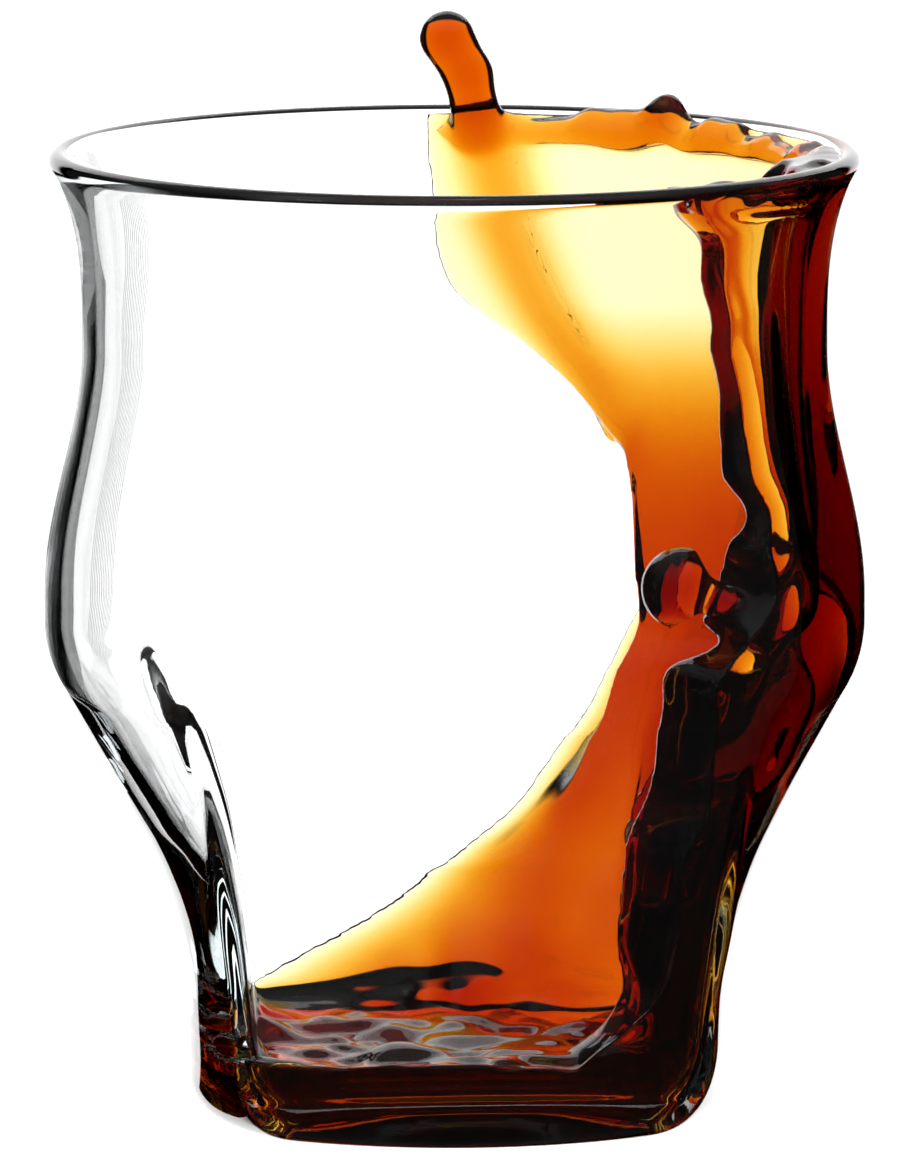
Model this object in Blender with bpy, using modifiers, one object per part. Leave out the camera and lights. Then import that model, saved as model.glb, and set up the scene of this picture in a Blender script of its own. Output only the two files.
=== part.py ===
"""Tasting glass: a blown glass with a round bowl on a bulged square foot, and the coffee swirling in it.

Metres, +Z up. The origin is the centre of the underside. The four faces look along +X, +Y, -X and -Y,
so the ridges between them stand on the diagonals.
"""

import functools
import math

import bmesh
import bpy
import numpy as np
from mathutils import Vector

# Outside of the glass
HEIGHT = 0.0946
RIM_DIAMETER = 0.0788
RIM_FLARE = math.radians(27.5)
LIP_THICKNESS = 0.0021
WAIST_DIAMETER = 0.0727
WAIST_HEIGHT = 0.0755
BELLY_DIAMETER = 0.0800
BELLY_HEIGHT = 0.0515

# Faces and ridges of the lower body: a width across faces and a diagonal across ridges at each height
CREASE_HEIGHT = 0.0455
CREASE_RIDGE_HEIGHT = 0.0434
SHOULDER_HEIGHT = 0.0335
SHOULDER_DIAGONAL = 0.0732
KINK_HEIGHT = 0.0212
KINK_WIDTH = 0.0530
KINK_DIAGONAL = 0.0698
ANKLE_HEIGHT = 0.0150
ANKLE_DIAGONAL = 0.0664
FOOT_WIDTH = 0.0512
FOOT_DIAGONAL = 0.0652
CREASE_BLEND = 0.0034
RIDGE_CREASE_BLEND = 0.0014
SHOULDER_BLEND = 0.0030
KINK_BLEND = 0.0038
ANKLE_BLEND = 0.0024
FOOT_EDGE_BLEND = 0.0038
RIDGE_EDGE_BLEND = 0.0098

# Walls
WALL_WAIST = 0.0016
WALL_BELLY = 0.0017
WALL_SHOULDER = 0.0023
WALL_KINK = 0.0032
WALL_KINK_RIDGE = 0.0030
WALL_FLOOR = 0.0034
WALL_FLOOR_RIDGE = 0.0034
BASE_THICKNESS = 0.0034
BOWL_BLEND = 0.0060

# Coffee
CLEARANCE = 0.0005
POOL_CLEARANCE = 0.0006
POOL_DEPTH = 0.0040
SHEET_FOOT = 0.0027
FILM_THICKNESS = 0.0008
STRAND_HEIGHT = 0.0019
STRAND_WIDTH = 0.0015
STRAND_SETBACK = 0.0018
EDGE_WIDTH = 0.0016
EDGE_SHARE = 0.30
ROOT_DEPTH = 0.0018
ROOT_RISE = 0.0053
BEAD_THICKNESS = 0.0012
FINGER_RADIUS = 0.0024
FINGER_HEAD_RADIUS = 0.0028
FINGER_SINK = 0.0027
FINGER_RISE = 0.0096
FINGER_LEAN = 0.0026
DROP_HEIGHT = 0.0516
DROP_RISE = 0.0027
DROP_RADIUS = 0.0038
DROP_NECK_RADIUS = 0.0015
DROP_REACH = 0.0072
NECK_FLARE = 1.2
NECK_SHARE = 0.35
HEAD_TUCK = 0.7

# The wet crescent: (share of the way up the bowl, angle of its edge in degrees from +X)
FRONT_EDGE = (
    (0.03, -68.0),
    (0.11, -54.0),
    (0.18, -50.0),
    (0.27, -53.0),
    (0.40, -53.0),
    (0.47, -55.0),
    (0.56, -42.0),
    (0.68, -43.0),
    (0.79, -45.0),
    (0.85, -48.0),
    (0.93, -50.0),
    (1.00, -57.0),
)
BACK_EDGE = (
    (0.03, 150.0),
    (0.11, 122.0),
    (0.15, 96.0),
    (0.23, 73.0),
    (0.39, 60.0),
    (0.47, 55.0),
    (0.61, 54.5),
    (0.67, 61.5),
    (0.75, 71.0),
    (0.82, 85.0),
    (0.88, 89.0),
    (1.00, 89.0),
)

# Depth of the crescent, by share of the way up, on the side wall and on the back wall
SIDE_DEPTH = (
    (0.05, 0.0030),
    (0.16, 0.0054),
    (0.29, 0.0066),
    (0.49, 0.0060),
    (0.60, 0.0045),
    (0.79, 0.0036),
    (1.00, 0.0030),
)
BACK_DEPTH = (
    (0.05, 0.0045),
    (0.40, 0.0045),
    (0.47, 0.0043),
    (0.57, 0.0034),
    (0.63, 0.0023),
    (0.70, 0.0005),
    (0.76, 0.0000),
)

# How far in from the back edge the film thickens to that depth, by share of the way up
BACK_FADE = (
    (0.05, 0.0100),
    (0.29, 0.0090),
    (0.40, 0.0070),
    (0.50, 0.0040),
    (0.62, 0.0040),
    (0.69, 0.0110),
)

# Angles between which the side wall's depth turns into the back wall's
TURN_START = ((0.34, -2.0), (0.58, -10.0))
TURN_END = ((0.34, 28.0), (0.58, 10.0))

# The thin window in the side wall: its middle and half its width in degrees
WINDOW_MIDDLE = ((0.56, -34.0), (0.74, -34.0), (0.90, -36.0), (1.00, -37.0))
WINDOW_WIDTH = ((0.56, 3.0), (0.60, 7.0), (0.74, 9.0), (0.85, 10.5), (1.00, 11.0))
WINDOW_START = (0.54, 0.62)
WINDOW_SHARE = 0.92

# Folds that run up the side wall: their line as (share of the way up, angle), their height and half width
FOLDS = (
    (((0.40, -32.0), (0.51, -28.0), (0.62, -21.0), (0.73, -17.0), (1.00, -15.0)), 0.0020, 0.0018),
    (((0.24, -20.0), (0.46, -16.0), (0.62, -8.0), (0.79, -6.0), (1.00, -5.0)), 0.0022, 0.0022),
    (((0.16, -38.0), (0.29, -33.0), (0.45, -38.0), (0.51, -34.0)), 0.0022, 0.0028),
)
FOLD_END_SHARE = 0.04
STRAND_LOW_SHARE = 1.2
LEAST_LEAN = 0.85
BEAD_START_SHARE = 0.90
FINGER_ANGLE = 82.0
DROP_ANGLE = -48.0
DROP_FOOT_ANGLE = -36.0

# Facets
SEGMENTS = 56
BLEND_STEPS = 3
EDGE_STEPS = 4
CURVE_STEPS = 6
LIP_STEPS = 4
SHEET_COLUMNS = 36
SHEET_ROWS = 30
COLUMN_POWER = 1.7
DROP_STEPS = 14
LARGEST_SETBACK = 0.65
NUDGE_SHARE = 0.02
SHARP_EDGE = math.radians(25.0)

FACE = 0
RIDGE = 1


def rounded_corner(before, corner, after, setback, steps):
    """The arc that leaves the corner's two sides at the setback, as steps + 1 points."""
    first = np.subtract(before, corner)
    second = np.subtract(after, corner)
    first_length = np.linalg.norm(first)
    second_length = np.linalg.norm(second)
    setback = min(setback, LARGEST_SETBACK * first_length, LARGEST_SETBACK * second_length)
    first = first / first_length
    second = second / second_length
    weight = math.sqrt(max(0.0, (1.0 - first @ second) / 2.0))
    points = []
    for t in np.linspace(0.0, 1.0, steps + 1):
        shares = np.array([(1.0 - t) ** 2, 2.0 * weight * t * (1.0 - t), t**2])
        ends = (corner + first * setback, np.array(corner), corner + second * setback)
        points.append(sum(share * end for share, end in zip(shares, ends)) / shares.sum())
    return points


def rounded_path(corners, setbacks, steps):
    """A path from the first corner to the last that rounds every corner between them."""
    points = [np.array(corners[0])]
    for index, (setback, count) in enumerate(zip(setbacks, steps), start=1):
        points += rounded_corner(corners[index - 1], corners[index], corners[index + 1], setback, count)
    points.append(np.array(corners[-1]))
    return points


def curve(start, start_slope, end, end_slope, steps):
    """A cubic from start to end, both (radius, height), without its first point."""
    rise = end[1] - start[1]
    points = []
    for t in np.linspace(0.0, 1.0, steps + 1)[1:]:
        radius = (2 * t**3 - 3 * t**2 + 1) * start[0] + (3 * t**2 - 2 * t**3) * end[0]
        radius += ((t**3 - 2 * t**2 + t) * start_slope + (t**3 - t**2) * end_slope) * rise
        points.append(np.array((radius, start[1] + t * rise)))
    return points


def outer_lower_rail(side):
    """The outside from the middle of the underside up to the belly, on a face or along a ridge."""
    belly = BELLY_DIAMETER / 2
    share = (SHOULDER_HEIGHT - KINK_HEIGHT) / (CREASE_HEIGHT - KINK_HEIGHT)
    face_shoulder = KINK_WIDTH / 2 + share * (belly - KINK_WIDTH / 2)
    face_ankle = FOOT_WIDTH / 2 + ANKLE_HEIGHT / KINK_HEIGHT * (KINK_WIDTH - FOOT_WIDTH) / 2
    corners = (
        (0.0, 0.0),
        ((FOOT_WIDTH / 2, FOOT_DIAGONAL / 2)[side], 0.0),
        ((face_ankle, ANKLE_DIAGONAL / 2)[side], ANKLE_HEIGHT),
        ((KINK_WIDTH / 2, KINK_DIAGONAL / 2)[side], KINK_HEIGHT),
        ((face_shoulder, SHOULDER_DIAGONAL / 2)[side], SHOULDER_HEIGHT),
        (belly, (CREASE_HEIGHT, CREASE_RIDGE_HEIGHT)[side]),
        (belly, BELLY_HEIGHT),
    )
    crease_blend = (CREASE_BLEND, RIDGE_CREASE_BLEND)[side]
    edge_blend = (FOOT_EDGE_BLEND, RIDGE_EDGE_BLEND)[side]
    setbacks = (edge_blend, ANKLE_BLEND, KINK_BLEND, SHOULDER_BLEND, crease_blend)
    steps = (EDGE_STEPS, BLEND_STEPS, BLEND_STEPS, BLEND_STEPS, BLEND_STEPS)
    return rounded_path(corners, setbacks, steps)[1:]


def inner_lower_rail(side):
    """The inside from the middle of the bowl's floor up to the belly, on a face or along a ridge."""
    belly = BELLY_DIAMETER / 2
    share = (SHOULDER_HEIGHT - KINK_HEIGHT) / (CREASE_HEIGHT - KINK_HEIGHT)
    face_shoulder = KINK_WIDTH / 2 + share * (belly - KINK_WIDTH / 2)
    corners = (
        (0.0, BASE_THICKNESS),
        ((FOOT_WIDTH / 2 - WALL_FLOOR, FOOT_DIAGONAL / 2 - WALL_FLOOR_RIDGE)[side], BASE_THICKNESS),
        ((KINK_WIDTH / 2 - WALL_KINK, KINK_DIAGONAL / 2 - WALL_KINK_RIDGE)[side], KINK_HEIGHT),
        ((face_shoulder, SHOULDER_DIAGONAL / 2)[side] - WALL_SHOULDER, SHOULDER_HEIGHT),
        (belly - WALL_BELLY, (CREASE_HEIGHT, CREASE_RIDGE_HEIGHT)[side]),
        (belly - WALL_BELLY, BELLY_HEIGHT),
    )
    crease_blend = (CREASE_BLEND, RIDGE_CREASE_BLEND)[side]
    bowl_blend = BOWL_BLEND * corners[1][0] / (FOOT_WIDTH / 2 - WALL_FLOOR)
    setbacks = (bowl_blend, KINK_BLEND, SHOULDER_BLEND, crease_blend)
    steps = (EDGE_STEPS, BLEND_STEPS, BLEND_STEPS, BLEND_STEPS)
    return rounded_path(corners, setbacks, steps)[1:]


def lip():
    """The lip's two ends and its half round, from the outside over the crest to the inside."""
    half = LIP_THICKNESS / 2
    centre = np.array((RIM_DIAMETER / 2 - half, HEIGHT - half))
    points = []
    for turn in np.linspace(-RIM_FLARE, math.pi - RIM_FLARE, LIP_STEPS + 1):
        points.append(centre + half * np.array((math.cos(turn), math.sin(turn))))
    return points


def upper_profile(wall_belly, wall_waist, lip_end):
    """The round wall from the belly over the waist to one end of the lip, without the belly and the end."""
    belly = (BELLY_DIAMETER / 2 - wall_belly, BELLY_HEIGHT)
    waist = (WAIST_DIAMETER / 2 - wall_waist, WAIST_HEIGHT)
    flare = curve(waist, 0.0, lip_end, math.tan(RIM_FLARE), CURVE_STEPS)
    return curve(belly, 0.0, waist, 0.0, CURVE_STEPS) + flare[:-1]


def section_radius(face, ridge, angle):
    """The radius at an angle of four equal arcs through the face middles and the ridges."""
    turn = (angle + math.pi / 4) % (math.pi / 2) - math.pi / 4
    half_chord = ridge * math.sqrt(0.5)
    bulge = face - half_chord
    if abs(bulge) < 1e-9:
        return face / math.cos(turn)
    arc_radius = (half_chord**2 + bulge**2) / (2 * bulge)
    offset = face - arc_radius
    reach = math.sqrt(arc_radius**2 - (offset * math.sin(turn)) ** 2)
    return offset * math.cos(turn) + math.copysign(reach, arc_radius)


def section_point(face, ridge, angle):
    """The point at an angle on the section through a point of each rail."""
    radius = section_radius(face[0], ridge[0], angle)
    height = face[1] + (ridge[1] - face[1]) * math.sin(2 * angle) ** 2
    return Vector((radius * math.cos(angle), radius * math.sin(angle), height))


@functools.cache
def bowl_rails():
    """The inside of the glass from its floor to the lip, as a face rail and a ridge rail."""
    upper = upper_profile(WALL_BELLY, WALL_WAIST, lip()[-1]) + [lip()[-1]]
    return np.array(inner_lower_rail(FACE) + upper), np.array(inner_lower_rail(RIDGE) + upper)


def bowl_height():
    """How deep the bowl is, from its floor to the inside of the lip."""
    return lip()[-1][1] - BASE_THICKNESS


def bowl_wall(level, angle):
    """The point of the bowl's wall at a share of the way up and an angle."""
    faces, ridges = bowl_rails()
    heights = faces[:, 1] + (ridges[:, 1] - faces[:, 1]) * math.sin(2 * angle) ** 2
    height = heights[0] + level * (heights[-1] - heights[0])
    radii = [section_radius(face, ridge, angle) for face, ridge in zip(faces[:, 0], ridges[:, 0])]
    radius = np.interp(height, heights, radii)
    return Vector((radius * math.cos(angle), radius * math.sin(angle), height))


def bowl_normal(level, angle):
    """The direction off the bowl's wall into the bowl."""
    upward = bowl_wall(min(level + NUDGE_SHARE, 1.0), angle) - bowl_wall(max(level - NUDGE_SHARE, 0.0), angle)
    around = bowl_wall(level, angle + NUDGE_SHARE) - bowl_wall(level, angle - NUDGE_SHARE)
    return upward.cross(around).normalized()


def bowl_point(level, angle, depth):
    """A point off the bowl's wall by a depth, square to the wall."""
    return bowl_wall(level, angle) + bowl_normal(level, angle) * depth


def ring(face, ridge):
    """One closed section of the loft."""
    return [section_point(face, ridge, 2 * math.pi * step / SEGMENTS) for step in range(SEGMENTS)]


def loft(name, rings):
    """A closed mesh through the rings, with a flat cap on the first and the last."""
    form = bmesh.new()
    rows = [[form.verts.new(point) for point in points] for points in rings]
    for low, high in zip(rows, rows[1:]):
        for step in range(len(low)):
            after = (step + 1) % len(low)
            form.faces.new((low[step], low[after], high[after], high[step]))
    form.faces.new(rows[0])
    form.faces.new(rows[-1])
    bmesh.ops.recalc_face_normals(form, faces=form.faces)
    mesh = bpy.data.meshes.new(name)
    form.to_mesh(mesh)
    form.free()
    mesh.shade_smooth()
    mesh.set_sharp_from_angle(angle=SHARP_EDGE)
    return mesh


def new_collection(name):
    collection = bpy.data.collections.new(name)
    bpy.context.scene.collection.children.link(collection)
    return collection


def place(name, mesh, collection, material):
    piece = bpy.data.objects.new(name, mesh)
    collection.objects.link(piece)
    mesh.materials.append(material)
    return piece


def clear_finish(name, colour, ior, transmission):
    """A smooth see-through material."""
    material = bpy.data.materials.new(name)
    material.use_nodes = True
    shader = material.node_tree.nodes["Principled BSDF"]
    shader.inputs["Base Color"].default_value = (*colour, 1.0)
    shader.inputs["Roughness"].default_value = 0.02
    shader.inputs["Metallic"].default_value = 0.0
    shader.inputs["IOR"].default_value = ior
    shader.inputs["Transmission Weight"].default_value = transmission
    return material


def build_glass(collection):
    """The blown glass: up the outside, over the lip and down the inside."""
    faces = outer_lower_rail(FACE)
    ridges = outer_lower_rail(RIDGE)
    crest = lip()
    turned = upper_profile(0.0, 0.0, crest[0]) + crest[:-1]
    bowl_faces, bowl_ridges = bowl_rails()
    rings = [ring(face, ridge) for face, ridge in zip(faces, ridges)]
    rings += [ring(point, point) for point in turned]
    rings += [ring(face, ridge) for face, ridge in zip(bowl_faces[::-1], bowl_ridges[::-1])]
    finish = clear_finish("clear_glass", (0.96, 0.98, 0.98), 1.5, 1.0)
    return place("glass_body", loft("glass_body", rings), collection, finish)


def smooth_step(low, high, value):
    """Rise from 0 at low to 1 at high, with level ends."""
    share = min(1.0, max(0.0, (value - low) / (high - low)))
    return share * share * (3.0 - 2.0 * share)


def along(table, level):
    """A table's value at a share of the way up."""
    return float(np.interp(level, *zip(*table)))


def side_depth(level, angle, arc):
    """How deep the coffee stands on the side wall, with its window and its folds."""
    depth = along(SIDE_DEPTH, level)
    off = (angle - along(WINDOW_MIDDLE, level)) / along(WINDOW_WIDTH, level)
    depth *= 1.0 - WINDOW_SHARE * smooth_step(*WINDOW_START, level) * math.exp(-(off**4))
    for line, height, width in FOLDS:
        first, last = line[0][0], line[-1][0]
        shown = smooth_step(first - FOLD_END_SHARE, first + FOLD_END_SHARE, level)
        shown *= 1.0 - smooth_step(last - FOLD_END_SHARE, last + FOLD_END_SHARE, level)
        depth += height * shown * math.exp(-(((angle - along(line, level)) * arc / width) ** 2))
    return depth


def sheet_thickness(level, angle):
    """How thick the crescent is at a share of the way up and an angle in degrees."""
    arc = math.radians(bowl_wall(level, math.radians(angle)).to_2d().length)
    from_front = (angle - along(FRONT_EDGE, level)) * arc
    from_back = (along(BACK_EDGE, level) - angle) * arc
    turned = smooth_step(along(TURN_START, level), along(TURN_END, level), angle)
    depth = side_depth(level, angle, arc) * (1.0 - turned) + along(BACK_DEPTH, level) * turned
    depth *= smooth_step(0.0, along(BACK_FADE, level), from_back)
    low = 1.0 - smooth_step(TURN_START[0][0], TURN_START[-1][0], level)
    strand = STRAND_HEIGHT * (1.0 + (STRAND_LOW_SHARE - 1.0) * low)
    depth += strand * math.exp(-(((from_front - STRAND_SETBACK) / STRAND_WIDTH) ** 2))
    edge = min(1.0, EDGE_SHARE + (1.0 - EDGE_SHARE) * from_front / EDGE_WIDTH)
    bead = BEAD_THICKNESS * max(0.0, level - BEAD_START_SHARE) / (1.0 - BEAD_START_SHARE)
    return FILM_THICKNESS + depth * edge + bead


def build_sheet(collection, finish):
    """The crescent of coffee on the wall: a skin by the glass, one towards the bowl and a rim between."""
    start = SHEET_FOOT / bowl_height()
    form = bmesh.new()
    outer = []
    inner = []
    for level in np.linspace(start, 1.0, SHEET_ROWS + 1):
        outer.append([])
        inner.append([])
        rooted = max(0.0, 1.0 - (level - start) * bowl_height() / ROOT_RISE)
        for share in np.linspace(0.0, 1.0, SHEET_COLUMNS + 1) ** COLUMN_POWER:
            front = along(FRONT_EDGE, level)
            degrees = front + (along(BACK_EDGE, level) - front) * share
            angle = math.radians(degrees)
            inwards = Vector((-math.cos(angle), -math.sin(angle), 0.0))
            lean = max(LEAST_LEAN, bowl_normal(level, angle).dot(inwards))
            by_glass = bowl_point(level, angle, CLEARANCE + ROOT_DEPTH * rooted)
            outer[-1].append(form.verts.new(by_glass))
            inner[-1].append(form.verts.new(by_glass + inwards * sheet_thickness(level, degrees) / lean))
    rims = []
    for skin in (outer, inner):
        for low, high in zip(skin, skin[1:]):
            for step in range(SHEET_COLUMNS):
                form.faces.new((low[step], low[step + 1], high[step + 1], high[step]))
        rising = [row[-1] for row in skin[1:-1]]
        falling = [row[0] for row in skin[-2:0:-1]]
        rims.append(skin[0] + rising + skin[-1][::-1] + falling)
    for step in range(len(rims[0])):
        before = step - 1
        form.faces.new((rims[0][before], rims[0][step], rims[1][step], rims[1][before]))
    bmesh.ops.recalc_face_normals(form, faces=form.faces)
    mesh = bpy.data.meshes.new("coffee")
    form.to_mesh(mesh)
    form.free()
    mesh.shade_smooth()
    return place("coffee", mesh, collection, finish)


def build_pool(collection, finish):
    """The coffee that lies on the bowl's floor, a clearance in from the wall and up from the floor."""
    rings = []
    for height in np.linspace(0.0, POOL_DEPTH, EDGE_STEPS):
        points = []
        for step in range(SEGMENTS):
            angle = 2 * math.pi * step / SEGMENTS
            inwards = Vector((-math.cos(angle), -math.sin(angle), 1.0)) * POOL_CLEARANCE
            points.append(bowl_wall(height / bowl_height(), angle) + inwards)
        rings.append(points)
    return place("coffee_pool", loft("coffee_pool", rings), collection, finish)


def turned_drop(name, length, neck_radius, head_radius, collection, finish):
    """A drop on its neck, turned about Z, with the neck's foot at the origin and the head above it."""
    profile = bmesh.new()
    outline = []
    for turn in np.linspace(math.pi / 2, -math.asin(neck_radius / head_radius) * HEAD_TUCK, CURVE_STEPS):
        outline.append((head_radius * math.cos(turn), length + head_radius * math.sin(turn)))
    outline += [(neck_radius, length * NECK_SHARE), (neck_radius * NECK_FLARE, 0.0), (0.0, 0.0)]
    verts = [profile.verts.new((radius, 0.0, height)) for radius, height in outline]
    for first, second in zip(verts, verts[1:]):
        profile.edges.new((first, second))
    mesh = bpy.data.meshes.new(name)
    profile.to_mesh(mesh)
    profile.free()
    drop = place(name, mesh, collection, finish)
    turning = drop.modifiers.new("turning", "SCREW")
    turning.steps = DROP_STEPS
    turning.render_steps = turning.steps
    turning.use_merge_vertices = True
    turning.merge_threshold = 1e-5
    return drop


def aim(piece, foot, head):
    """Stand a turned piece on a point with its axis towards another."""
    piece.location = foot
    piece.rotation_mode = "QUATERNION"
    piece.rotation_quaternion = (head - foot).to_track_quat("Z", "Y")


def build_finger(collection, finish):
    """The finger of coffee that stands up from the bead at the lip."""
    angle = math.radians(FINGER_ANGLE)
    foot = bowl_point(1.0 - FINGER_SINK / bowl_height(), angle, CLEARANCE + FINGER_RADIUS * NECK_FLARE)
    around = Vector((-math.sin(angle), math.cos(angle), 0.0))
    head = foot + around * FINGER_LEAN + Vector((0.0, 0.0, FINGER_RISE))
    length = (head - foot).length
    finger = turned_drop("coffee_finger", length, FINGER_RADIUS, FINGER_HEAD_RADIUS, collection, finish)
    aim(finger, foot, head)
    return finger


def build_drop(collection, finish):
    """The drop thrown inwards from the sheet's front edge, still on its neck."""
    level = (DROP_HEIGHT - BASE_THICKNESS) / bowl_height()
    raised = level + DROP_RISE / bowl_height()
    foot = bowl_point(level, math.radians(DROP_FOOT_ANGLE), CLEARANCE + DROP_NECK_RADIUS * NECK_FLARE)
    head = bowl_point(raised, math.radians(DROP_ANGLE), CLEARANCE + DROP_REACH)
    length = (head - foot).length
    drop = turned_drop("coffee_drop", length, DROP_NECK_RADIUS, DROP_RADIUS, collection, finish)
    aim(drop, foot, head)
    return drop


def build_coffee(collection, shapes):
    """The coffee: the sheet, joined with the pool, the finger and the drop."""
    finish = clear_finish("coffee", (0.32, 0.07, 0.01), 1.34, 0.8)
    coffee = build_sheet(collection, finish)
    for shape in (build_pool(shapes, finish), build_finger(shapes, finish), build_drop(shapes, finish)):
        shape.hide_render = True
        shape.display_type = "WIRE"
        joining = coffee.modifiers.new(shape.name, "BOOLEAN")
        joining.operation = "UNION"
        joining.solver = "MANIFOLD"
        joining.object = shape
    return coffee


def main():
    for old in list(bpy.data.objects):
        bpy.data.objects.remove(old, do_unlink=True)
    parts = new_collection("tasting_glass")
    shapes = new_collection("joined_shapes")
    build_glass(parts)
    build_coffee(parts, shapes)


main()
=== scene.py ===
"""Looks of the tasting glass: clear blown glass round a swirl of coffee, lit from behind.

Metres, +Z up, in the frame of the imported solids. The foot's faces look along +X, +Y, -X and -Y.
The coffee is shaped in millimetres, as one field that is zero on its surface.
"""

import logging
import math
from dataclasses import dataclass, field
from enum import Enum
from typing import Any, Callable, Sequence

import bpy
import numpy as np
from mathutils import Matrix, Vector

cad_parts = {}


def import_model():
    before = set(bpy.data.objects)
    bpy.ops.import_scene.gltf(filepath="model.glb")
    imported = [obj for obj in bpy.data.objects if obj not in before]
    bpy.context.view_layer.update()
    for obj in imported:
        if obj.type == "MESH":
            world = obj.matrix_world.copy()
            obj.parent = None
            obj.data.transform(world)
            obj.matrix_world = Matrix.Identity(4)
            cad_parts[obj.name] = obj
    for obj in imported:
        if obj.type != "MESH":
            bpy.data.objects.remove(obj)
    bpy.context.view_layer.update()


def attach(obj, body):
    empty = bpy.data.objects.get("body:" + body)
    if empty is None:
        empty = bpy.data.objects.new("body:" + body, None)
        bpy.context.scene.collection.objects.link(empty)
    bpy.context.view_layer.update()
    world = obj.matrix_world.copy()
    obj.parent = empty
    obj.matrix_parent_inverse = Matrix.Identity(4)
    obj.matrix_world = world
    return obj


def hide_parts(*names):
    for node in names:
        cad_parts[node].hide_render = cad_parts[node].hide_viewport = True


Array = np.ndarray
Pair = tuple[float, float]
Triple = tuple[float, float, float]
Row = tuple[float, ...]
Table = tuple[Pair, ...]
Layer = Callable[[Array, Array, float], Array]
Bend = Callable[[Array, Array, float], tuple[Array, Array]]
LOG = logging.getLogger("tasting_glass")
BODY = "root"
MM = 0.001
CORNER_SHARE = 0.65


class Side(Enum):
    """The two rails that a section of the lower body passes through."""

    FACE = 0
    RIDGE = 1


class Slot(Enum):
    """The record's material slots."""

    GLASS = "clear_glass"
    COFFEE = "coffee"


class Bench:
    """A node tree being filled with nodes."""

    def __init__(self, tree: bpy.types.NodeTree) -> None:
        """Empty the tree of a material or of the world, to start afresh."""
        self.tree = tree
        tree.nodes.clear()

    def node(self, kind: str, settings: dict[str, Any] | None = None, **inputs: Any) -> bpy.types.Node:
        """Add a node of any type.

        Args:
            kind: The node's type name.
            settings: Attributes that are set before the sockets.
            inputs: Values or links by socket name, with _ for a space, or by socket number as n0, n1.

        Returns:
            The new node.
        """
        made = self.tree.nodes.new(kind)
        for name, value in (settings or {}).items():
            setattr(made, name, value)
        for name, value in inputs.items():
            key = int(name[1:]) if name[1:].isdigit() else name.replace("_", " ")
            socket = made.inputs[key]
            source = value.socket if isinstance(value, Wire) else value
            if isinstance(source, bpy.types.NodeSocket):
                self.tree.links.new(source, socket)
            else:
                socket.default_value = source
        return made

    def wire(self, kind: str, output: str, settings: dict[str, Any] | None = None, **inputs: Any) -> "Wire":
        """Add a node, with the arguments of node, and take the output of the given name."""
        return Wire(self, self.node(kind, settings, **inputs).outputs[output])

    def ramp(self, value: "Wire", span: Sequence[float], kind: str = "LINEAR") -> "Wire":
        """Carry a value from the span of the first two numbers to that of the last two."""
        ends = {f"n{at}": end for at, end in enumerate(span, 1)}
        return self.wire("ShaderNodeMapRange", "Result", {"interpolation_type": kind}, n0=value, **ends)


class Wire:
    """A socket that a value comes out of, with the arithmetic that adds Math nodes."""

    def __init__(self, bench: Bench, socket: bpy.types.NodeSocket) -> None:
        """Wrap an output socket of a node on the bench."""
        self.bench = bench
        self.socket = socket

    def _math(self, operation: str, first: Any, second: Any) -> "Wire":
        """Add one Math node and return its output."""
        return self.bench.wire("ShaderNodeMath", "Value", {"operation": operation}, n0=first, n1=second)

    def __rsub__(self, other: float) -> "Wire":
        """A number less this value."""
        return self._math("SUBTRACT", other, self)

    def __mul__(self, other: "Wire | float") -> "Wire":
        """Product of two values."""
        return self._math("MULTIPLY", self, other)


@dataclass(frozen=True)
class ClearFinish:
    """A clear medium with smooth, slightly wavy sides that takes up light with depth.

    Attributes:
        name: The material's name.
        ior: Index of refraction.
        takes_up: Light lost on each millimetre, for red, green and blue.
        wave_scale: Noise cells on a metre of surface.
        wave_height: Height of the waves in metres.
        haze: Roughness of the roughest spots.
        finer: How many times finer the noise of the haze is than the waves.
        details: Detail of the waves' noise and of the haze's noise.
    """

    name: str
    ior: float
    takes_up: Triple
    wave_scale: float
    wave_height: float
    haze: float
    finer: int = 4
    details: Pair = (1.0, 3.0)

    def material(self) -> bpy.types.Material:
        """Make the material.

        Returns:
            A material with transmission, waves on its surface and absorption inside.
        """
        made = bpy.data.materials.new(self.name)
        made.use_nodes = True
        bench = Bench(made.node_tree)
        place = bench.wire("ShaderNodeTexCoord", "Object")
        scales = (self.wave_scale, self.wave_scale * self.finer)
        waves, film = (
            bench.wire("ShaderNodeTexNoise", "Fac", Vector=place, Scale=scale, Detail=detail)
            for scale, detail in zip(scales, self.details)
        )
        bump = bench.wire("ShaderNodeBump", "Normal", Strength=1.0, Distance=self.wave_height, Height=waves)
        shader = bench.wire(
            "ShaderNodeBsdfPrincipled",
            "BSDF",
            Base_Color=(1.0, 1.0, 1.0, 1.0),
            Roughness=film * film * self.haze,
            IOR=self.ior,
            Transmission_Weight=1.0,
            Normal=bump,
        )
        density = max(self.takes_up) / MM
        tint = [1.0 - share / max(self.takes_up) for share in self.takes_up]
        inside = bench.wire("ShaderNodeVolumeAbsorption", "Volume", Color=(*tint, 1.0), Density=density)
        bench.node("ShaderNodeOutputMaterial", Surface=shader, Volume=inside)
        return made


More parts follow.
